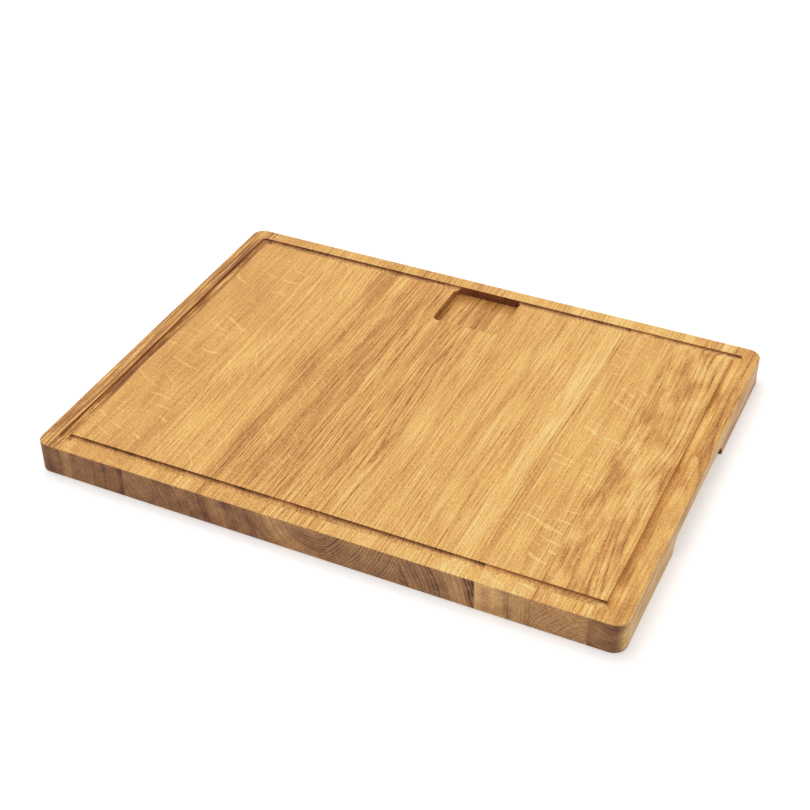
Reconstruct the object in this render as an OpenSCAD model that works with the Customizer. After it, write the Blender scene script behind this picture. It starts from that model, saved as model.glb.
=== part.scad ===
// Serving board glued up from ten solid oak staves whose grain runs front to back.
// The top has a juice groove all round and a juice pocket at the back, the ends have finger grips.
// Millimetres. The origin is the centre of the underside, +X runs along the long side,
// +Y to the back and +Z up.

/* [Board] */
// Length of the board from end to end
board_w = 450; // [400:1:500]
// Depth of the board from front to back
board_d = 330; // [300:1:360]
// Thickness of the board
board_t = 25; // [22:0.5:30]
// Radius of the four upright corners
corner_r = 10; // [6:0.5:14]
// Radius of the eased edge around the top face and around the underside
ease_r = 1; // [0.5:0.25:2]

/* [Staves] */
// Width of the strip at the left end
left_strip_w = 20.5; // [20:0.5:28]
// Width of the strip at the right end
right_strip_w = 24.5; // [20:0.5:28]
// Width of each of the two narrower staves beside the right strip
narrow_stave_w = 39.3; // [34:0.1:46]

/* [Juice groove] */
// Width of the groove at the top face
groove_w = 7; // [6:0.5:8]
// Depth of the groove at its round bottom
groove_depth = 3; // [2:0.25:3]
// Distance from the edge of the board to the middle of the groove
groove_inset = 15.5; // [14:0.5:18]

/* [Juice pocket] */
// Length of the pocket along the back edge
pocket_w = 57; // [40:1:70]
// Reach of the pocket from the rim of the groove towards the middle of the board
pocket_d = 53; // [36:1:64]
// Depth of the flat pocket floor below the top face
pocket_depth = 7; // [5:0.5:10]
// Radius of the pocket's upright corners
pocket_corner_r = 5; // [3:0.5:8]

/* [Finger grips] */
// Length of each grip along the underside
grip_len = 120; // [90:1:150]
// Radius of the round-nosed cut, which is the height and the reach of a grip
grip_r = 12; // [9:0.5:13]

/* [Hidden] */
$fn = 96;

OAK = [0.84, 0.66, 0.42];

// The wide staves share the length that the end strips and the narrow staves leave
wide_staves = 6;
narrow_staves = 2;
wide_staves_w = board_w - left_strip_w - right_strip_w - narrow_staves * narrow_stave_w;
wide_stave_w = wide_staves_w / wide_staves;
joint_step = 0.01;

// Ends of the straight part of the long edges, where the rounded corners begin
straight_w = board_w - 2 * corner_r;
straight_d = board_d - 2 * corner_r;

// The groove is cut with a ball nose of this radius, so that its section is part of a circle
groove_r = (groove_w * groove_w / 4 + groove_depth * groove_depth) / (2 * groove_depth);
groove_z = board_t - groove_depth + groove_r;
groove_x = board_w / 2 - groove_inset;
groove_y = board_d / 2 - groove_inset;

// The pocket's back wall is flush with the outer rim of the groove
pocket_back = groove_y + groove_w / 2;
cut_above = 1;

// Place of a glue joint along X, counted from the one at the left strip
function joint_x(count) =
  let (wide = min(count, wide_staves), narrow = max(count - wide_staves, 0))
  let (x = -board_w / 2 + left_strip_w + wide * wide_stave_w + narrow * narrow_stave_w)
  round(x / joint_step) * joint_step;

module left_strip() color(OAK) end_strip(-1, -straight_w / 2, joint_x(0));

module stave_1() color(OAK) stave(0);

module stave_2() color(OAK) stave(1);

module stave_3() color(OAK) stave(2);

module stave_4() color(OAK) stave(3);

module stave_5() color(OAK) stave(4);

module stave_6() color(OAK) stave(5);

module narrow_stave_1() color(OAK) stave(wide_staves);

module narrow_stave_2() color(OAK) stave(wide_staves + 1);

module right_strip() {
  color(OAK) end_strip(1, joint_x(wide_staves + narrow_staves), straight_w / 2);
}

// A stave that runs from the front edge to the back edge, beside the counted glue joint
module stave(count) {
  difference() {
    eased_bar(joint_x(count), joint_x(count + 1));
    groove_cut();
    pocket_cut();
  }
}

// A strip at one end, which carries two rounded corners and a finger grip
module end_strip(side, start_x, end_x) {
  difference() {
    union() {
      eased_bar(start_x, end_x);
      end_edge(side);
    }
    groove_cut();
    grip_cut(side);
  }
}

// Bar along X whose front and back have eased edges
module eased_bar(start_x, end_x) {
  translate([start_x, 0, 0]) rotate([90, 0, 90]) linear_extrude(end_x - start_x) {
    translate([-board_d / 2 + ease_r, 0]) square([board_d - 2 * ease_r, board_t]);
    translate([-board_d / 2, ease_r]) square([board_d, board_t - 2 * ease_r]);
    for (end = [-1, 1], level = [ease_r, board_t - ease_r]) {
      translate([end * (board_d / 2 - ease_r), level]) circle(ease_r);
    }
  }
}

// Outermost part of an end, as wide as the corner radius, with both rounded corners
module end_edge(side) {
  rotate([0, 0, side < 0 ? 180 : 0]) {
    translate([straight_w / 2, straight_d / 2, 0]) rotate([90, 0, 0]) {
      linear_extrude(straight_d) edge_section();
    }
    for (corner = [-1, 1]) {
      translate([straight_w / 2, corner * straight_d / 2, 0]) {
        rotate([0, 0, corner < 0 ? -90 : 0]) rotate_extrude(angle = 90) edge_section();
      }
    }
  }
}

// Section through the outermost part of the board, eased on its outer side
module edge_section() {
  square([corner_r - ease_r, board_t]);
  translate([0, ease_r]) square([corner_r, board_t - 2 * ease_r]);
  for (level = [ease_r, board_t - ease_r]) {
    translate([corner_r - ease_r, level]) intersection() {
      circle(ease_r);
      translate([0, -ease_r]) square([ease_r, 2 * ease_r]);
    }
  }
}

// Path of the ball nose around the board, with a ball at each turn
module groove_cut() {
  for (side = [-1, 1]) {
    translate([side * groove_x, groove_y, groove_z]) rotate([90, 0, 0]) {
      cylinder(h = 2 * groove_y, r = groove_r);
    }
    translate([-groove_x, side * groove_y, groove_z]) rotate([0, 90, 0]) {
      cylinder(h = 2 * groove_x, r = groove_r);
    }
    for (end = [-1, 1]) {
      translate([side * groove_x, end * groove_y, groove_z]) sphere(groove_r);
    }
  }
}

// Flat-bottomed pocket with rounded upright corners
module pocket_cut() {
  translate([-pocket_w / 2, pocket_back - pocket_d, board_t - pocket_depth]) {
    linear_extrude(pocket_depth + cut_above) {
      translate([pocket_corner_r, 0]) square([pocket_w - 2 * pocket_corner_r, pocket_d]);
      translate([0, pocket_corner_r]) square([pocket_w, pocket_d - 2 * pocket_corner_r]);
      for (x = [pocket_corner_r, pocket_w - pocket_corner_r]) {
        for (y = [pocket_corner_r, pocket_d - pocket_corner_r]) {
          translate([x, y]) circle(pocket_corner_r);
        }
      }
    }
  }
}

// Cove along the lower edge of an end, run out in a quarter ball at both ends
module grip_cut(side) {
  run = grip_len / 2 - grip_r;
  translate([side * board_w / 2, run, 0]) rotate([90, 0, 0]) cylinder(h = 2 * run, r = grip_r);
  for (end = [-1, 1]) translate([side * board_w / 2, end * run, 0]) sphere(grip_r);
}

left_strip();
stave_1();
stave_2();
stave_3();
stave_4();
stave_5();
stave_6();
narrow_stave_1();
narrow_stave_2();
right_strip();
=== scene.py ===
"""Serving board of glued oak staves: wood for the solid model's pieces, a studio and a camera.

Lengths are in metres, in the frame of the solid model: +X along the board, +Y to the back, +Z up.
"""

import math
from dataclasses import dataclass

import bpy
from bpy.props import FloatProperty, FloatVectorProperty, PointerProperty
from bpy.types import Operator, Panel, PropertyGroup
from mathutils import Matrix, Vector


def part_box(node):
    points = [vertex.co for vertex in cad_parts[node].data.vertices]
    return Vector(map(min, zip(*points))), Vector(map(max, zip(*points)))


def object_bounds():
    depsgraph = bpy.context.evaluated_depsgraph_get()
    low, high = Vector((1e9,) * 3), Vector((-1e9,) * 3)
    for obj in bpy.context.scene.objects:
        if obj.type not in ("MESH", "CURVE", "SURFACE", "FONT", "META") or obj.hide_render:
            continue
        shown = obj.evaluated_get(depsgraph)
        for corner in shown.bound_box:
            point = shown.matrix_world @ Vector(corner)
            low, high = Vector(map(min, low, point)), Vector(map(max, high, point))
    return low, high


bl_info = {
    "name": "Serving board",
    "version": (1, 0, 0),
    "blender": (4, 5, 0),
    "location": "3D View > Sidebar > Serving board",
    "description": "Gives the staves of an oak serving board their wood and sets up the studio",
    "category": "Object",
}

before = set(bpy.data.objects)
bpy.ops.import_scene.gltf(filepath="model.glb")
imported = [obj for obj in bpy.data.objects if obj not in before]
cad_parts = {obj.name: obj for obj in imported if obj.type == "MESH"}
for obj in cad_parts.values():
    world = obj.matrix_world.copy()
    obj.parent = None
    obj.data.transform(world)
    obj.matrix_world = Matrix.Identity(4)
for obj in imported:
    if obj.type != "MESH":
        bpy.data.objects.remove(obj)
CAD_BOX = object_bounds()
BOARD_HIGH = Vector(CAD_BOX[1])
BOARD_TOP = BOARD_HIGH.z

END_STRIPS = ("left_strip", "right_strip")
WIDE_STAVES = ("stave_1", "stave_2", "stave_3", "stave_4", "stave_5", "stave_6")
NARROW_STAVES = ("narrow_stave_1", "narrow_stave_2")


@dataclass(frozen=True)
class Mark:
    """Size of a random marking, across the fibres and along them, and how broken up it is."""

    across: float
    along: float
    detail: float = 2.0
    roughness: float = 0.5


FIBRES = Mark(0.0008, 0.040, detail=1.0)
STREAKS = Mark(0.0028, 0.120, detail=3.0, roughness=0.55)
VESSELS = Mark(0.0008, 0.008, detail=1.0)
SPECKLE = Mark(0.0010, 0.0022, detail=5.0, roughness=0.72)
CLOUDS = Mark(0.022, 0.060)
BLOTCHES = Mark(0.010, 0.030, detail=3.0)
POOLS = Mark(0.040, 0.040, detail=3.0)
RING_WARP = Mark(0.018, 0.090, detail=3.0)
RAY_WARP = Mark(0.050, 0.020, detail=1.0)

# Range that the random markings, the random lines and the run of good years mostly keep to
MARK_RANGE = (0.34, 0.66)
LINE_RANGE = (0.25, 0.75)
YEARS_RANGE = (0.32, 0.68)
# Steps between the seeds of the staves and between the rays, and offsets between random lines
SEED_STEP = 7.3
RAY_STEP = 7.3
LIFT_OFFSET = 71.0
YEARS_OFFSET = 31.0

# Length over which the heart wanders, and changes per ring in the ring widths and the good years
HEART_WANDER = 0.28
WIDTH_CHANGE = 0.23
YEARS_CHANGE = 0.16
# Part of a ring in which the spring wood sets in, and part in which it thins out
SPRING_START = (0.0, 0.10)
SPRING_END = (0.12, 0.55)

# Rays: how far they sway and slant, their spacing, and the size of one sheet
RAY_SWAY = 0.0090
RAY_SLANT = 0.32
RAY_SPACING = 0.0034
RAY_THICKNESS = 0.00052
RAY_HEIGHT = 0.016
RAY_REACH = 0.018
# Markings between which a sheet comes up, and the part of its thickness that is solid
RAY_PRESENT = (0.50, 0.66)
RAY_CORE = 0.1

# Markings between which a vessel opens, and the share of vessels that summer wood has
VESSEL_OPEN = (0.52, 0.64)
SUMMER_VESSELS = 0.12

# Distance from the board's edges to the milled cuts, less a hair, and to the groove's two rims
MILLED_INSET = 0.0119
GROOVE_OUTER = 0.012
GROOVE_INNER = 0.019
# How far a face has turned to be end grain, a short side, a wall, or the end grain of a wall
END_GRAIN_TURN = (0.42, 0.92)
SHORT_SIDE_TURN = (0.55, 0.90)
WALL_TURN = (0.80, 0.20)
END_WALL_TURN = (0.5, 0.9)
# Stain and painted shade on a wall of long grain, when a wall of end grain has 1
LONG_WALL_STAIN_AND_SHADE = 0.75
# Depth below the top where walls start, and depths where the groove's pools and the pocket do
WALL_DEPTH = 0.00005
POOL_DEPTH = (0.0008, 0.0026)
POCKET_DEPTH = (0.0040, 0.0060)
# Markings between which a pool of stain grows, and its strength
POOL_GROWTH = (0.42, 0.62)
POOL_STAIN = 0.42
# Painted shade on the pocket's floor in front and at its back wall, and how far from there it
# grows
POCKET_PAINTED_SHADE = (0.12, 0.70)
POCKET_PAINTED_SHADE_REACH = 0.020
# A rounded edge: how far it reaches, and how far it has turned where it starts and ends
ARRIS_REACH = (0.0008, 0.0016)
ARRIS_START = (0.15, 0.45)
ARRIS_END = (0.80, 0.98)
# Reach of a glue line from its joint, the strip at the board's ends that has none, and its level
GLUE_REACH = 0.0004
GLUE_FREE = 0.002
GLUE_LEVEL = 0.76

# Shades run from the pores, 0, to the ray flecks, 1: those of plain long grain and end grain
PLAIN_SHADE = 0.61
END_SHADE = 0.56
# The same for spring wood and summer wood
EARLY_SHADE = 0.34
LATE_SHADE = 0.66
# How much of a stave's tone its end grain takes on
END_TONE_SHARE = 0.5
# How much the faintest and strongest ring lines, the pores and the painted edge highlight move
# the shade
RING_LINES = (-0.06, -0.30)
PORES_SHADE = -0.20
ARRIS_HIGHLIGHT = 0.14
# How much spring wood darkens end grain, and how much faster green and blue change than red
END_SPRING = -0.36
END_GREEN_POWER = 1.2
END_BLUE_POWER = 1.12


@dataclass(frozen=True)
class Swings:
    """How far each marking makes the long grain or the end grain darker or lighter."""

    years: float
    clouds: float
    streaks: float
    fibres: float
    speckle: float
    rays: float


LONG_GRAIN = Swings(years=0.09, clouds=0.05, streaks=0.08, fibres=0.14, speckle=0.20, rays=0.30)
END_GRAIN = Swings(years=0.26, clouds=0.04, streaks=0.07, fibres=0.14, speckle=0.20, rays=0.30)

# Heights of the fibres and the spring wood, when a pore is 1 deep, and the strength of the relief
FIBRE_HEIGHT = 0.35
SPRING_HEIGHT = -0.25
RELIEF_STRENGTH = 0.35
# How much rougher the pores and the end grain are, and the mirror level of the oil
PORES_ROUGHNESS = 0.16
END_ROUGHNESS = 0.14
OIL_SPECULAR = 0.3

# Colour of the floor, and how far it lies below the board, so that their faces don't meet
FLOOR_COLOUR = (0.80, 0.80, 0.80, 1.0)
FLOOR_GAP = 0.0002
# Glow of the floor as the eye sees it, near the board and far away, and where it changes
FLOOR_GLOW = (0.42, 0.70)
FLOOR_GLOW_CHANGE = (0.8, 3.0)
WHITE = (1.0, 1.0, 1.0, 1.0)
# Width of the camera's sensor, in millimetres, and how far the camera sees
SENSOR_WIDTH = 36.0
CAMERA_REACH = 50.0

# Places of the colour sockets of a Mix node, which share their names with other sockets
MIX_FIRST = 6
MIX_SECOND = 7
MIX_RESULT = 2


@dataclass(frozen=True)
class Cut:
    """How a stave was sawn from its log, and how strong its markings are."""

    # Centre of the log, sideways from the middle of the stave and upwards from its underside
    heart: tuple
    # Width of one year's growth
    rings: float
    # How far the heart wanders along the stave
    drift: float = 0.004
    # How many rings a wave in them reaches over, and how much their widths differ
    warp: float = 1.3
    uneven: float = 3.0
    # Lightness of the long grain
    tone: float = 0.0
    # Strength of the ring lines, the broad bands, the fine straight lines and the ray flecks
    figure: float = 0.6
    bands: float = 0.6
    lines: float = 1.0
    flecks: float = 0.3
    # How many times broader than a thin ray the flecks are
    fleck_breadth: float = 1.0
    # Strength of the blotches on the long grain
    mottle: float = 0.02
    # How much darker the field inside the groove is made
    field_darkening: float = 0.01
    # How strong the stain and the painted shade in the groove and the pocket are
    stain_and_shade: float = 1.0
    # Lightness of the end grain, and the strength of its rings, broad bands and blotches
    end_tone: float = 1.0
    end_rings: float = 1.0
    end_bands: float = 0.6
    end_mottle: float = 0.20
    # How much lighter the end grain grows from the stave's left side to its right
    end_lean: float = 0.0


CUTS = {
    "left_strip": Cut(
        heart=(-0.160, 0.008), rings=0.0015, drift=0.002, warp=0.7, uneven=1.3, tone=-0.16,
        figure=2.4, bands=0.7, lines=2.2, flecks=0.2, mottle=0.06, stain_and_shade=1.9,
        end_tone=0.84, end_bands=0.8,
    ),
    "stave_1": Cut(
        heart=(-0.220, 0.010), rings=0.0012, drift=0.003, tone=-0.09,
        figure=0.25, bands=0.3, lines=0.6, flecks=0.65, fleck_breadth=1.6,
        end_tone=0.92, end_rings=0.5, end_bands=0.9, end_lean=-0.40,
    ),
    "stave_2": Cut(
        heart=(-0.110, -0.032), rings=0.0034, drift=0.005, tone=-0.03,
        figure=0.5, bands=0.6, lines=0.7, flecks=0.6, fleck_breadth=1.5,
        end_tone=0.90, end_rings=0.8, end_bands=0.6, end_lean=-0.14,
    ),
    "stave_3": Cut(
        heart=(-0.150, -0.018), rings=0.0020, drift=0.004, tone=-0.09,
        figure=0.55, bands=1.0, lines=1.1, flecks=0.6, field_darkening=0.04,
        end_tone=0.92, end_rings=0.9, end_bands=0.8, end_mottle=0.26,
    ),
    "stave_4": Cut(
        heart=(0.018, 0.032), rings=0.0030, drift=0.003, tone=-0.06,
        figure=0.65, bands=0.3, lines=1.3, flecks=0.2, field_darkening=0.04,
        end_tone=1.13, end_rings=0.9, end_bands=1.1, end_mottle=0.16, end_lean=-0.40,
    ),
    "stave_5": Cut(
        heart=(-0.072, 0.058), rings=0.0019, drift=0.004, tone=0.02,
        figure=0.6, bands=0.3, lines=0.9, flecks=0.4, field_darkening=0.05,
        end_tone=1.13, end_rings=1.6, end_bands=0.2, end_mottle=0.10, end_lean=0.12,
    ),
    "stave_6": Cut(
        heart=(-0.110, -0.020), rings=0.0029, drift=0.004, tone=0.09,
        figure=0.5, bands=1.3, lines=1.0, flecks=0.4, field_darkening=0.07,
        end_tone=1.02, end_rings=1.3, end_bands=1.5, end_mottle=0.14,
    ),
    "narrow_stave_1": Cut(
        heart=(-0.240, 0.004), rings=0.0017, drift=0.003, tone=0.07,
        figure=0.5, bands=0.6, lines=0.8, flecks=0.75, fleck_breadth=2.4, field_darkening=0.08,
        end_tone=1.54, end_rings=0.6, end_bands=0.7, end_mottle=0.18, end_lean=-0.38,
    ),
    "narrow_stave_2": Cut(
        heart=(0.036, -0.018), rings=0.0023, drift=0.006, warp=2.0, tone=-0.01,
        figure=0.9, bands=2.0, lines=0.7, flecks=0.4, mottle=0.20, field_darkening=0.08,
        end_tone=1.49, end_rings=0.8, end_bands=0.2, end_mottle=0.05,
    ),
    "right_strip": Cut(
        heart=(0.003, 0.046), rings=0.0026, drift=0.004, warp=2.2, tone=-0.045,
        figure=0.6, bands=2.2, lines=0.8, flecks=0.4, mottle=0.14,
        end_tone=0.80, end_rings=1.1, end_bands=1.2, end_lean=-0.24,
    ),
}


def tint(red, green, blue):
    """Linear colour of a paint that is given as it looks on a screen, from 0 to 255."""
    linear = []
    for level in (red, green, blue):
        share = level / 255.0
        linear.append(share / 12.92 if share <= 0.04045 else ((share + 0.055) / 1.055) ** 2.4)
    return tuple(linear)


class OakSettings(PropertyGroup):
    """Colours and sizes of the oak."""

    late_wood: FloatVectorProperty(
        name="Late wood",
        description="Colour of the dense summer part of a ring",
        subtype="COLOR",
        min=0.0,
        max=1.0,
        default=tint(245, 192, 108),
    )
    early_wood: FloatVectorProperty(
        name="Early wood",
        description="Colour of the open-pored spring part of a ring",
        subtype="COLOR",
        min=0.0,
        max=1.0,
        default=tint(206, 143, 72),
    )
    pore: FloatVectorProperty(
        name="Pores",
        description="Colour inside the open pores",
        subtype="COLOR",
        min=0.0,
        max=1.0,
        default=tint(141, 85, 37),
    )
    ray: FloatVectorProperty(
        name="Ray flecks",
        description="Colour of the pale flecks where a ray is cut open",
        subtype="COLOR",
        min=0.0,
        max=1.0,
        default=tint(255, 229, 155),
    )
    end_grain: FloatVectorProperty(
        name="End grain",
        description="What the oil leaves of the wood's colour where the grain is cut across",
        subtype="COLOR",
        min=0.0,
        max=1.0,
        default=(0.55, 0.49, 0.755),
    )
    # Painted light: a bluer tint on the two short sides stands in for the light of the white
    # surroundings
    painted_side_light: FloatVectorProperty(
        name="Short sides",
        description="What is left of the wood's colour on the two short sides",
        subtype="COLOR",
        min=0.0,
        max=2.0,
        default=(0.965, 0.97, 1.2),
    )
    # Oil stain and painted shade on the walls and floors of the groove and the pocket
    stain_and_shade: FloatVectorProperty(
        name="Groove stain",
        description="What is left of the wood's colour on the walls of the groove and the pocket",
        subtype="COLOR",
        min=0.0,
        max=1.0,
        default=(0.48, 0.34, 0.26),
    )
    grain_depth: FloatProperty(
        name="Grain depth",
        description="Depth of the open grain",
        unit="LENGTH",
        min=0.0,
        max=0.002,
        default=0.00025,
    )
    roughness: FloatProperty(
        name="Roughness",
        description="Roughness of the oiled surface",
        subtype="FACTOR",
        min=0.0,
        max=1.0,
        default=0.46,
    )


class StudioSettings(PropertyGroup):
    """Camera, floor and lamp."""

    camera_place: FloatVectorProperty(
        name="Camera place",
        description="Where the camera stands",
        subtype="XYZ",
        unit="LENGTH",
        default=(0.39698, -0.84353, 0.72679),
    )
    camera_aim: FloatVectorProperty(
        name="Camera aim",
        description="The point in the middle of the picture",
        subtype="XYZ",
        unit="LENGTH",
        default=(-0.0064, 0.0020, 0.0125),
    )
    camera_roll: FloatProperty(
        name="Camera roll",
        description="Turn of the camera about its line of sight",
        unit="ROTATION",
        default=math.radians(-0.5),
    )
    lens: FloatProperty(
        name="Focal length",
        description="Focal length of the lens on a 36 mm wide sensor",
        unit="CAMERA",
        min=10.0,
        default=68.96,
    )
    floor_size: FloatProperty(
        name="Floor size",
        description="Length of the floor's side",
        unit="LENGTH",
        min=1.0,
        default=12.0,
    )
    lamp_place: FloatVectorProperty(
        name="Lamp place",
        description="Where the middle of the lamp hangs",
        subtype="XYZ",
        unit="LENGTH",
        default=(-0.90, 0.50, 3.20),
    )
    lamp_size: FloatProperty(
        name="Lamp size",
        description="Length of the lamp's side",
        unit="LENGTH",
        min=0.1,
        default=2.4,
    )
    lamp_colour: FloatVectorProperty(
        name="Lamp colour",
        description="Colour of the lamp's light",
        subtype="COLOR",
        min=0.0,
        max=1.0,
        default=(1.0, 0.99, 0.97),
    )
    lamp_power: FloatProperty(
        name="Lamp power",
        description="Power of the lamp, in watts",
        min=0.0,
        default=60.0,
    )
    room_light: FloatProperty(
        name="Room light",
        description="Strength of the even light from all round",
        min=0.0,
        default=0.49,
    )


class NodeDesk:
    """Places shader nodes in one tree and links them."""

    def __init__(self, tree):
        self.tree = tree

    def add(self, kind, **settings):
        """Puts a node in the tree, with these settings."""
        node = self.tree.nodes.new(kind)
        for name, value in settings.items():
            setattr(node, name, value)
        return node

    def feed(self, socket, value):
        """Links a socket to another node's output, or sets it to a fixed value."""
        if isinstance(value, bpy.types.NodeSocket):
            self.tree.links.new(value, socket)
        else:
            socket.default_value = value

    def fill(self, node, **values):
        """Feeds sockets by name, where an underscore stands for a space. Returns the outputs."""
        for name, value in values.items():
            self.feed(node.inputs[name.replace("_", " ")], value)
        return node.outputs

    def place(self, group, **values):
        """Puts a node group in the tree and feeds it."""
        return self.fill(self.add("ShaderNodeGroup", node_tree=group), **values)

    def math(self, operation, *values):
        node = self.add("ShaderNodeMath", operation=operation)
        for socket, value in zip(node.inputs, values):
            self.feed(socket, value)
        return node.outputs["Value"]

    def vector(self, operation, *values):
        node = self.add("ShaderNodeVectorMath", operation=operation)
        for socket, value in zip(node.inputs, values):
            self.feed(socket, value)
        return node.outputs["Vector"]

    def length(self, vector):
        node = self.add("ShaderNodeVectorMath", operation="LENGTH")
        self.feed(node.inputs[0], vector)
        return node.outputs["Value"]

    def split(self, vector):
        return self.fill(self.add("ShaderNodeSeparateXYZ"), Vector=vector)

    def join(self, x, y, z):
        return self.fill(self.add("ShaderNodeCombineXYZ"), X=x, Y=y, Z=z)["Vector"]

    def shift(self, vector, amount):
        """Moves a place by the same amount along each axis."""
        return self.vector("ADD", vector, self.join(amount, amount, amount))

    def dim(self, colour, level):
        """The colour times a grey level."""
        return self.vector("MULTIPLY", colour, self.join(level, level, level))

    def span(self, value, low, high, start=0.0, end=1.0, smooth=True):
        """Turns low to high into start to end, and holds the ends."""
        shape = "SMOOTHSTEP" if smooth else "LINEAR"
        node = self.add("ShaderNodeMapRange", interpolation_type=shape, clamp=True)
        self.fill(node, Value=value, From_Min=low, From_Max=high, To_Min=start, To_Max=end)
        return node.outputs["Result"]

    def below_top(self, height, shallow, deep):
        """Grows from 0 to 1 as a height sinks between two depths below the board's top."""
        return self.span(height, BOARD_TOP - shallow, BOARD_TOP - deep, smooth=False)

    def marks(self, position, mark):
        """Random markings, drawn out along the fibres to the size of a mark."""
        stretch = (1.0 / mark.across, 1.0 / mark.along, 1.0 / mark.across)
        return self.noise(self.vector("MULTIPLY", position, stretch), mark.detail, mark.roughness)

    def even_marks(self, position, mark):
        """The same, stretched to run from 0 to 1."""
        return self.span(self.marks(position, mark), *MARK_RANGE, smooth=False)

    def noise(self, vector, detail, roughness=0.5):
        node = self.add("ShaderNodeTexNoise", noise_dimensions="3D")
        self.fill(node, Vector=vector, Scale=1.0, Detail=detail, Roughness=roughness)
        return node.outputs["Fac"]

    def line(self, along, detail=1.0):
        """Random line that runs smoothly."""
        node = self.add("ShaderNodeTexNoise", noise_dimensions="1D")
        self.fill(node, W=along, Scale=1.0, Detail=detail)
        return node.outputs["Fac"]

    def mix(self, share, first, second):
        node = self.add("ShaderNodeMix", data_type="RGBA")
        self.feed(node.inputs["Factor"], share)
        self.feed(node.inputs[MIX_FIRST], first)
        self.feed(node.inputs[MIX_SECOND], second)
        return node.outputs[MIX_RESULT]

    def swing(self, value, *swings):
        """Moves a value up or down by as much as each reach, as its marking runs from 0 to 1."""
        for marking, reach in swings:
            offset = self.span(marking, 0.0, 1.0, -reach, reach, smooth=False)
            value = self.math("ADD", value, offset)
        return value

    def ramp(self, shade, settings):
        """Wood colour for a shade from the pores, 0, to the ray flecks, 1."""
        node = self.add("ShaderNodeValToRGB")
        stops = node.color_ramp.elements
        stops[0].color = (*settings.pore, 1.0)
        stops[1].color = (*settings.ray, 1.0)
        stops.new(EARLY_SHADE).color = (*settings.early_wood, 1.0)
        stops.new(LATE_SHADE).color = (*settings.late_wood, 1.0)
        return self.fill(node, Fac=shade)["Color"]


def new_group(name, inputs, outputs):
    """Empty shader group with named sockets. Returns its desk, inputs and output sockets."""
    tree = bpy.data.node_groups.new(name, "ShaderNodeTree")
    for socket in inputs:
        kind = "NodeSocketVector" if socket in ("Position", "Normal") else "NodeSocketFloat"
        tree.interface.new_socket(socket, in_out="INPUT", socket_type=kind)
    for socket in outputs:
        tree.interface.new_socket(socket, in_out="OUTPUT", socket_type="NodeSocketFloat")
    desk = NodeDesk(tree)
    return desk, desk.add("NodeGroupInput").outputs, desk.add("NodeGroupOutput").inputs


def annual_rings_group():
    """Year rings round a heart that wanders along the grain."""
    desk, given, out = new_group(
        "annual rings",
        ("Position", "Heart X", "Heart Z", "Drift", "Ring Width", "Warp", "Uneven", "Seed"),
        ("Early Wood", "Ring Tone", "Good Years", "Radius", "Angle"),
    )
    seed = given["Seed"]
    x, y, z = desk.split(given["Position"])

    # The heart moves sideways and up and down by the drift
    along = desk.math("MULTIPLY_ADD", y, 1.0 / HEART_WANDER, seed)
    sway = desk.span(desk.line(along), *LINE_RANGE, -1.0, 1.0, smooth=False)
    lift = desk.line(desk.math("ADD", along, LIFT_OFFSET))
    lift = desk.span(lift, *LINE_RANGE, -1.0, 1.0, smooth=False)
    heart_x = desk.math("MULTIPLY_ADD", sway, given["Drift"], given["Heart X"])
    heart_z = desk.math("MULTIPLY_ADD", lift, given["Drift"], given["Heart Z"])
    from_heart_x = desk.math("SUBTRACT", x, heart_x)
    from_heart_z = desk.math("SUBTRACT", z, heart_z)
    radius = desk.length(desk.join(from_heart_x, 0.0, from_heart_z))
    desk.feed(out["Radius"], radius)
    upright = desk.math("ABSOLUTE", from_heart_z)
    desk.feed(out["Angle"], desk.math("ARCTAN2", from_heart_x, upright))

    # Rings are a little wavy and not all of one width
    years = desk.math("DIVIDE", radius, given["Ring Width"])
    uneven = desk.line(desk.math("MULTIPLY_ADD", years, WIDTH_CHANGE, seed), detail=2.0)
    years = desk.math("MULTIPLY_ADD", uneven, given["Uneven"], years)
    warp = desk.marks(desk.shift(given["Position"], seed), RING_WARP)
    years = desk.math("MULTIPLY_ADD", warp, given["Warp"], years)
    start = desk.math("ADD", seed, YEARS_OFFSET)
    decade = desk.line(desk.math("MULTIPLY_ADD", years, YEARS_CHANGE, start), detail=2.0)
    desk.feed(out["Good Years"], desk.span(decade, *YEARS_RANGE, smooth=False))

    # Each year is a little different
    luck = desk.add("ShaderNodeTexWhiteNoise", noise_dimensions="1D")
    year = desk.math("ADD", desk.math("FLOOR", years), seed)
    desk.feed(out["Ring Tone"], desk.fill(luck, W=year)["Value"])

    # Spring wood starts at once and thins out
    season = desk.math("FRACT", years)
    rise = desk.span(season, *SPRING_START)
    fade = desk.span(season, *SPRING_END, 1.0, 0.0)
    desk.feed(out["Early Wood"], desk.math("MULTIPLY", rise, fade))
    return desk.tree


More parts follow.
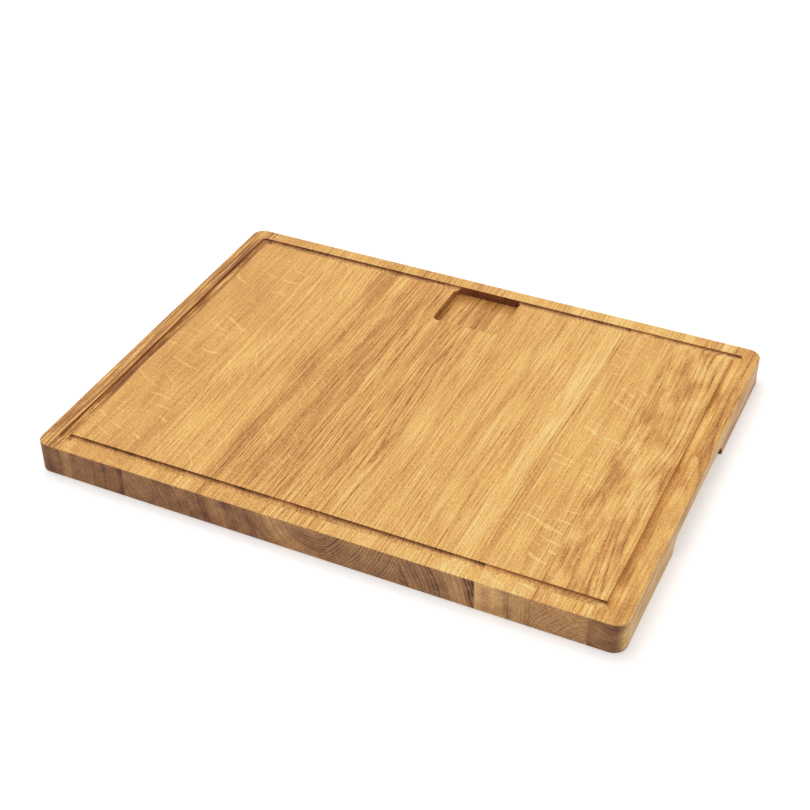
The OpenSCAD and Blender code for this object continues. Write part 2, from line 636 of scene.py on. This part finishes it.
def ray_flecks_group():
    """Thin sheets that run out from the heart: flecks on long grain, lines on end grain."""
    desk, given, out = new_group(
        "ray flecks",
        ("Position", "Radius", "Angle", "Heart Distance", "Breadth", "Seed"),
        ("Rays",),
    )
    seed = given["Seed"]
    y = desk.split(given["Position"])["Y"]
    warp = desk.marks(desk.shift(given["Position"], seed), RAY_WARP)
    wander = desk.math("MULTIPLY_ADD", y, RAY_SLANT, desk.math("MULTIPLY", warp, RAY_SWAY))
    around = desk.math("MULTIPLY_ADD", given["Angle"], given["Heart Distance"], wander)
    lane = desk.math("MULTIPLY_ADD", around, 1.0 / RAY_SPACING, seed)
    off_middle = desk.math("ABSOLUTE", desk.math("SUBTRACT", desk.math("FRACT", lane), 0.5))

    # Each sheet comes and goes along the grain and outwards, and thins out at its rims
    sheet = desk.join(
        desk.math("MULTIPLY", desk.math("FLOOR", lane), RAY_STEP),
        desk.math("MULTIPLY", given["Radius"], 1.0 / RAY_REACH),
        desk.math("MULTIPLY", y, 1.0 / RAY_HEIGHT),
    )
    present = desk.span(desk.noise(sheet, detail=1.0), *RAY_PRESENT)
    half = desk.math("MULTIPLY", present, 0.5 * RAY_THICKNESS / RAY_SPACING)
    half = desk.math("MULTIPLY", half, given["Breadth"])
    core = desk.math("MULTIPLY", half, RAY_CORE)
    desk.feed(out["Rays"], desk.span(off_middle, core, half, 1.0, 0.0))
    return desk.tree


def open_grain_group():
    """Fibres, streaks and pores that run along the stave, and the unevenness of its colour."""
    markings = {
        "Fibres": FIBRES,
        "Streaks": STREAKS,
        "Speckle": SPECKLE,
        "Clouds": CLOUDS,
        "Blotches": BLOTCHES,
    }
    desk, given, out = new_group(
        "open grain", ("Position", "Early Wood", "Seed"), (*markings, "Pores")
    )
    shifted = desk.shift(given["Position"], given["Seed"])
    for name, mark in markings.items():
        desk.feed(out[name], desk.even_marks(shifted, mark))
    vessels = desk.span(desk.marks(shifted, VESSELS), *VESSEL_OPEN)
    spring = 1.0 - SUMMER_VESSELS
    share = desk.math("MULTIPLY_ADD", given["Early Wood"], spring, SUMMER_VESSELS)
    desk.feed(out["Pores"], desk.math("MULTIPLY", vessels, share))
    return desk.tree


def cut_faces_group():
    """Masks for the way a face lies: across the grain, on a short side, or in a milled cut."""
    desk, given, out = new_group(
        "cut faces",
        ("Position", "Normal", "Low X", "High X"),
        ("End Grain", "Short Side", "Stain And Shade", "Field", "Glue Line", "Arris"),
    )
    turns = desk.split(given["Normal"])
    turn_x, turn_y, turn_z = (desk.math("ABSOLUTE", turn) for turn in turns)
    desk.feed(out["End Grain"], desk.span(turn_y, *END_GRAIN_TURN))
    x, y, z = desk.split(given["Position"])
    from_middle = [desk.math("ABSOLUTE", place) for place in (x, y)]
    edges = (BOARD_HIGH.x, BOARD_HIGH.y)

    # What lies inside the outer rim of the milled cuts, seen from above
    inside = desk.math("MULTIPLY", *(
        desk.math("LESS_THAN", place, edge - MILLED_INSET)
        for place, edge in zip(from_middle, edges)
    ))
    outside = desk.math("SUBTRACT", 1.0, inside)
    upper = desk.math("GREATER_THAN", z, BOARD_TOP / 2)
    milled = desk.math("MULTIPLY", inside, upper)
    side = desk.span(turn_x, *SHORT_SIDE_TURN)
    desk.feed(out["Short Side"], desk.math("MULTIPLY", side, outside))

    # The field inside the groove, which is made darker
    field = desk.math("MULTIPLY", *(
        desk.span(place, edge - GROOVE_INNER, edge - GROOVE_OUTER, 1.0, 0.0)
        for place, edge in zip(from_middle, edges)
    ))
    desk.feed(out["Field"], desk.math("MULTIPLY", milled, field))

    # The walls are darkened: partly by oil stain, most of all on end grain, and partly by painted
    # shade
    below = desk.math("LESS_THAN", z, BOARD_TOP - WALL_DEPTH)
    soaking_and_shade = desk.span(turn_y, *END_WALL_TURN, LONG_WALL_STAIN_AND_SHADE, 1.0)
    walls = desk.math("MULTIPLY", desk.span(turn_z, *WALL_TURN), soaking_and_shade)
    stain_and_shade = desk.math("MULTIPLY", below, walls)
    # Painted shade darkens the floor of the pocket, most of all towards the back wall
    back = BOARD_HIGH.y - MILLED_INSET
    shade_to_back = desk.span(y, back - POCKET_PAINTED_SHADE_REACH, back, *POCKET_PAINTED_SHADE)
    deep = desk.below_top(z, *POCKET_DEPTH)
    stain_and_shade = desk.math("MAXIMUM", stain_and_shade, desk.math("MULTIPLY", deep, shade_to_back))
    # The oil stain pools here and there at the bottom of the groove
    low = desk.below_top(z, *POOL_DEPTH)
    pools = desk.span(desk.marks(given["Position"], POOLS), *POOL_GROWTH, 0.0, POOL_STAIN)
    stain_and_shade = desk.math("MAXIMUM", stain_and_shade, desk.math("MULTIPLY", low, pools))
    desk.feed(out["Stain And Shade"], desk.math("MULTIPLY", milled, stain_and_shade))

    # Painted highlight on the rounded edges at the top and the bottom
    from_rim = desk.math("MINIMUM", z, desk.math("SUBTRACT", BOARD_TOP, z))
    close = desk.span(from_rim, *ARRIS_REACH, 1.0, 0.0)
    flat = desk.span(turn_z, *ARRIS_END, 1.0, 0.0)
    slanted = desk.math("MULTIPLY", desk.span(turn_z, *ARRIS_START), flat)
    arris = desk.math("MULTIPLY", close, slanted)
    desk.feed(out["Arris"], desk.math("MULTIPLY", arris, outside))

    # Glue shows as a hairline, and not at the ends of the board
    left_end = desk.math("ADD", given["Low X"], GLUE_REACH)
    left = desk.span(x, given["Low X"], left_end, 1.0, 0.0)
    right_start = desk.math("SUBTRACT", given["High X"], GLUE_REACH)
    right = desk.span(x, right_start, given["High X"])
    within = desk.math("LESS_THAN", from_middle[0], BOARD_HIGH.x - GLUE_FREE)
    glue = desk.math("MAXIMUM", left, right)
    desk.feed(out["Glue Line"], desk.math("MULTIPLY", glue, within))
    return desk.tree


def long_grain_colour(desk, cut, growth, rays, grain, faces, settings):
    """Every marking moves the shade up or down between the pores and the ray flecks."""
    faint, strong = (strength * cut.figure for strength in RING_LINES)
    line = desk.span(growth["Ring Tone"], 0.0, 1.0, faint, strong, smooth=False)
    shade = desk.math("MULTIPLY_ADD", growth["Early Wood"], line, PLAIN_SHADE + cut.tone)
    shade = desk.swing(
        shade,
        (growth["Good Years"], LONG_GRAIN.years * cut.bands),
        (grain["Clouds"], LONG_GRAIN.clouds),
        (grain["Streaks"], LONG_GRAIN.streaks * cut.lines),
        (grain["Fibres"], LONG_GRAIN.fibres * cut.lines),
        (grain["Speckle"], LONG_GRAIN.speckle),
        (grain["Blotches"], cut.mottle),
    )
    for marking, strength in (
        (grain["Pores"], PORES_SHADE * cut.lines),
        (rays, LONG_GRAIN.rays * cut.flecks),
        # The painted highlight on the rounded edges lightens the shade
        (faces["Arris"], ARRIS_HIGHLIGHT),
        (faces["Field"], -cut.field_darkening),
    ):
        shade = desk.math("MULTIPLY_ADD", marking, strength, shade)
    return desk.ramp(shade, settings)


def end_grain_colour(desk, cut, across, growth, rays, grain, settings):
    """End grain soaks up the oil: it is darker, and its rings and rays show more."""
    calm = END_SHADE + END_TONE_SHARE * cut.tone
    calm = desk.swing(calm, (grain["Clouds"], END_GRAIN.clouds))
    soaked = desk.vector("MULTIPLY", desk.ramp(calm, settings), settings.end_grain)
    level = desk.math("MULTIPLY_ADD", across, cut.end_lean, 1.0)
    level = desk.swing(
        level,
        (growth["Good Years"], END_GRAIN.years * cut.end_bands),
        (grain["Blotches"], cut.end_mottle),
        (grain["Streaks"], END_GRAIN.streaks),
        (grain["Fibres"], END_GRAIN.fibres),
        (grain["Speckle"], END_GRAIN.speckle),
    )
    level = desk.math("MULTIPLY_ADD", growth["Early Wood"], END_SPRING * cut.end_rings, level)
    level = desk.math("MULTIPLY_ADD", rays, END_GRAIN.rays, level)
    level = desk.math("MAXIMUM", desk.math("MULTIPLY", level, cut.end_tone), 0.0)
    # Where the end grain is lighter it is yellower too
    green = desk.math("POWER", level, END_GREEN_POWER)
    blue = desk.math("POWER", level, END_BLUE_POWER)
    return desk.vector("MULTIPLY", soaked, desk.join(level, green, blue))


def oiled_surface(desk, colour, growth, grain, end_grain, settings):
    """Satin surface with open grain, rougher in the pores and on end grain."""
    worn = desk.math("MULTIPLY_ADD", grain["Pores"], PORES_ROUGHNESS, settings.roughness)
    spring = desk.math("MULTIPLY", growth["Early Wood"], SPRING_HEIGHT)
    hollow = desk.math("MULTIPLY_ADD", grain["Fibres"], FIBRE_HEIGHT, spring)
    relief = desk.fill(
        desk.add("ShaderNodeBump"),
        Strength=RELIEF_STRENGTH,
        Distance=settings.grain_depth,
        Height=desk.math("SUBTRACT", hollow, grain["Pores"]),
    )
    surface = desk.fill(
        desk.add("ShaderNodeBsdfPrincipled"),
        Base_Color=colour,
        Roughness=desk.math("MULTIPLY_ADD", end_grain, END_ROUGHNESS, worn),
        Specular_IOR_Level=OIL_SPECULAR,
        Normal=relief["Normal"],
    )
    desk.fill(desk.add("ShaderNodeOutputMaterial"), Surface=surface["BSDF"])


def bare_tree(owner):
    """Desk for the emptied node tree of a material or a world."""
    owner.use_nodes = True
    owner.node_tree.nodes.clear()
    return NodeDesk(owner.node_tree)


def oak_material(name, groups, settings):
    """Oak of one stave, as it was cut from its log."""
    cut = CUTS[name]
    seed = SEED_STEP * (1 + list(CUTS).index(name))
    low, high = (corner[0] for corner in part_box(name))
    heart_x, heart_z = cut.heart

    material = bpy.data.materials.new("oak " + name)
    desk = bare_tree(material)
    coordinates = desk.add("ShaderNodeTexCoord").outputs
    position = coordinates["Object"]
    growth = desk.place(
        groups["annual rings"],
        Position=position,
        Heart_X=(low + high) / 2 + heart_x,
        Heart_Z=heart_z,
        Drift=cut.drift,
        Ring_Width=cut.rings,
        Warp=cut.warp,
        Uneven=cut.uneven,
        Seed=seed,
    )
    rays = desk.place(
        groups["ray flecks"],
        Position=position,
        Radius=growth["Radius"],
        Angle=growth["Angle"],
        Heart_Distance=math.hypot(heart_x, heart_z - BOARD_TOP / 2),
        Breadth=cut.fleck_breadth,
        Seed=seed,
    )["Rays"]
    grain = desk.place(
        groups["open grain"], Position=position, Early_Wood=growth["Early Wood"], Seed=seed
    )
    faces = desk.place(
        groups["cut faces"],
        Position=position,
        Normal=coordinates["Normal"],
        Low_X=low,
        High_X=high,
    )

    end_grain = faces["End Grain"]
    across = desk.span(desk.split(position)["X"], low, high, -0.5, 0.5, smooth=False)
    wood = long_grain_colour(desk, cut, growth, rays, grain, faces, settings)
    soaked = end_grain_colour(desk, cut, across, growth, rays, grain, settings)
    surface = desk.mix(end_grain, wood, soaked)
    # Painted light: the short sides get a bluer tint for the light of the white surroundings
    side = desk.vector("MULTIPLY", surface, settings.painted_side_light)
    surface = desk.mix(faces["Short Side"], surface, side)
    # The cuts take the oil stain and the painted shade of their walls and floors
    stained_and_shaded = desk.vector("MULTIPLY", surface, settings.stain_and_shade)
    depth = desk.math("MINIMUM", desk.math("MULTIPLY", faces["Stain And Shade"], cut.stain_and_shade), 1.0)
    surface = desk.mix(depth, surface, stained_and_shaded)
    glued = desk.span(faces["Glue Line"], 0.0, 1.0, 1.0, GLUE_LEVEL, smooth=False)
    oiled_surface(desk, desk.dim(surface, glued), growth, grain, end_grain, settings)
    return material


def wood_groups():
    """The shared node groups by name, built once."""
    builders = {
        "annual rings": annual_rings_group,
        "ray flecks": ray_flecks_group,
        "open grain": open_grain_group,
        "cut faces": cut_faces_group,
    }
    return {name: bpy.data.node_groups.get(name) or build() for name, build in builders.items()}


def dress(names, settings):
    """Gives each of these staves its own oak."""
    groups = wood_groups()
    for name in names:
        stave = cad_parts[name]
        stave.data.materials.clear()
        stave.data.materials.append(oak_material(name, groups, settings))


class SERVINGBOARD_OT_end_strips(Operator):
    """Give the two end strips their oak"""

    bl_idname = "serving_board.end_strips"
    bl_label = "End strips"

    def execute(self, context):
        dress(END_STRIPS, context.scene.serving_board_oak)
        return {"FINISHED"}


class SERVINGBOARD_OT_wide_staves(Operator):
    """Give the six wide staves their oak"""

    bl_idname = "serving_board.wide_staves"
    bl_label = "Wide staves"

    def execute(self, context):
        dress(WIDE_STAVES, context.scene.serving_board_oak)
        return {"FINISHED"}


class SERVINGBOARD_OT_narrow_staves(Operator):
    """Give the two narrow staves their oak"""

    bl_idname = "serving_board.narrow_staves"
    bl_label = "Narrow staves"

    def execute(self, context):
        dress(NARROW_STAVES, context.scene.serving_board_oak)
        return {"FINISHED"}


def add_thing(name, data):
    """Object in the scene for this camera, lamp or mesh."""
    thing = bpy.data.objects.new(name, data)
    bpy.context.scene.collection.objects.link(thing)
    return thing


def aim(thing, place, target, roll=0.0):
    """Stands a camera or lamp at a place, looking at a target."""
    back = (Vector(place) - Vector(target)).normalized()
    right = Vector((0.0, 0.0, 1.0)).cross(back).normalized()
    up = back.cross(right)
    turn = Matrix((right, up, back)).transposed() @ Matrix.Rotation(roll, 3, "Z")
    thing.matrix_world = Matrix.Translation(place) @ turn.to_4x4()


def add_camera(settings):
    """Camera that sees the board as the photograph does."""
    lens = bpy.data.cameras.new("camera")
    lens.sensor_width = SENSOR_WIDTH
    lens.lens = settings.lens
    lens.clip_end = CAMERA_REACH
    camera = add_thing("camera", lens)
    aim(camera, settings.camera_place, settings.camera_aim, settings.camera_roll)
    bpy.context.scene.camera = camera


def add_lamp(settings):
    """Large square soft lamp that looks at the middle of the board."""
    lamp = bpy.data.lights.new("main lamp", "AREA")
    lamp.size = settings.lamp_size
    lamp.energy = settings.lamp_power
    lamp.color = settings.lamp_colour
    aim(add_thing("main lamp", lamp), settings.lamp_place, (0.0, 0.0, BOARD_TOP))


def white_to_the_eye(desk):
    """1 where the camera, a reflection or glass looks straight at the surface."""
    path = desk.add("ShaderNodeLightPath").outputs
    seen = desk.math("MAXIMUM", path["Is Camera Ray"], path["Is Glossy Ray"])
    return desk.math("MAXIMUM", seen, path["Is Transmission Ray"])


def add_floor(size):
    """Pale floor that shows white and keeps the board's soft shadow."""
    half = size / 2
    mesh = bpy.data.meshes.new("floor")
    corners = [(-half, -half, 0.0), (half, -half, 0.0), (half, half, 0.0), (-half, half, 0.0)]
    mesh.from_pydata(corners, [], [(0, 1, 2, 3)])
    floor = add_thing("floor", mesh)
    floor.location.z = -FLOOR_GAP

    material = bpy.data.materials.new("pale floor")
    desk = bare_tree(material)
    paint = desk.fill(desk.add("ShaderNodeBsdfDiffuse"), Color=FLOOR_COLOUR)
    # Far from the lamp it glows more, so that it stays white up to the horizon
    distance = desk.length(desk.add("ShaderNodeTexCoord").outputs["Object"])
    level = desk.span(distance, *FLOOR_GLOW_CHANGE, *FLOOR_GLOW)
    level = desk.math("MULTIPLY", white_to_the_eye(desk), level)
    glow = desk.fill(desk.add("ShaderNodeEmission"), Strength=level)
    both = desk.add("ShaderNodeAddShader")
    desk.feed(both.inputs[0], paint["BSDF"])
    desk.feed(both.inputs[1], glow["Emission"])
    desk.fill(desk.add("ShaderNodeOutputMaterial"), Surface=both.outputs["Shader"])
    mesh.materials.append(material)


def add_room(strength):
    """Even room light, which looks white behind the board."""
    world = bpy.data.worlds.new("white room")
    desk = bare_tree(world)
    level = desk.span(white_to_the_eye(desk), 0.0, 1.0, strength, 1.0, smooth=False)
    back = desk.fill(desk.add("ShaderNodeBackground"), Color=WHITE, Strength=level)
    desk.fill(desk.add("ShaderNodeOutputWorld"), Surface=back["Background"])
    bpy.context.scene.world = world


class SERVINGBOARD_OT_studio(Operator):
    """Set up the camera, the floor and the light"""

    bl_idname = "serving_board.studio"
    bl_label = "Studio"

    def execute(self, context):
        settings = context.scene.serving_board_studio
        add_camera(settings)
        add_floor(settings.floor_size)
        add_lamp(settings)
        add_room(settings.room_light)
        context.scene.view_settings.view_transform = "Standard"
        return {"FINISHED"}


class SERVINGBOARD_PT_sidebar(Panel):
    """Steps and settings of the serving board"""

    bl_idname = "SERVINGBOARD_PT_sidebar"
    bl_label = "Serving board"
    bl_space_type = "VIEW_3D"
    bl_region_type = "UI"
    bl_category = "Serving board"

    def draw(self, context):
        for settings, steps in (
            (context.scene.serving_board_oak, ("end_strips", "wide_staves", "narrow_staves")),
            (context.scene.serving_board_studio, ("studio",)),
        ):
            box = self.layout.box()
            for name in settings.__annotations__:
                box.prop(settings, name)
            for step in steps:
                box.operator("serving_board." + step)


CLASSES = (
    OakSettings,
    StudioSettings,
    SERVINGBOARD_OT_end_strips,
    SERVINGBOARD_OT_wide_staves,
    SERVINGBOARD_OT_narrow_staves,
    SERVINGBOARD_OT_studio,
    SERVINGBOARD_PT_sidebar,
)


def register():
    for one_class in CLASSES:
        bpy.utils.register_class(one_class)
    bpy.types.Scene.serving_board_oak = PointerProperty(type=OakSettings)
    bpy.types.Scene.serving_board_studio = PointerProperty(type=StudioSettings)


def unregister():
    del bpy.types.Scene.serving_board_studio
    del bpy.types.Scene.serving_board_oak
    for one_class in reversed(CLASSES):
        bpy.utils.unregister_class(one_class)


def main():
    register()
    bpy.ops.serving_board.end_strips()
    bpy.ops.serving_board.wide_staves()
    bpy.ops.serving_board.narrow_staves()
    bpy.ops.serving_board.studio()


if __name__ == "__main__":
    main()
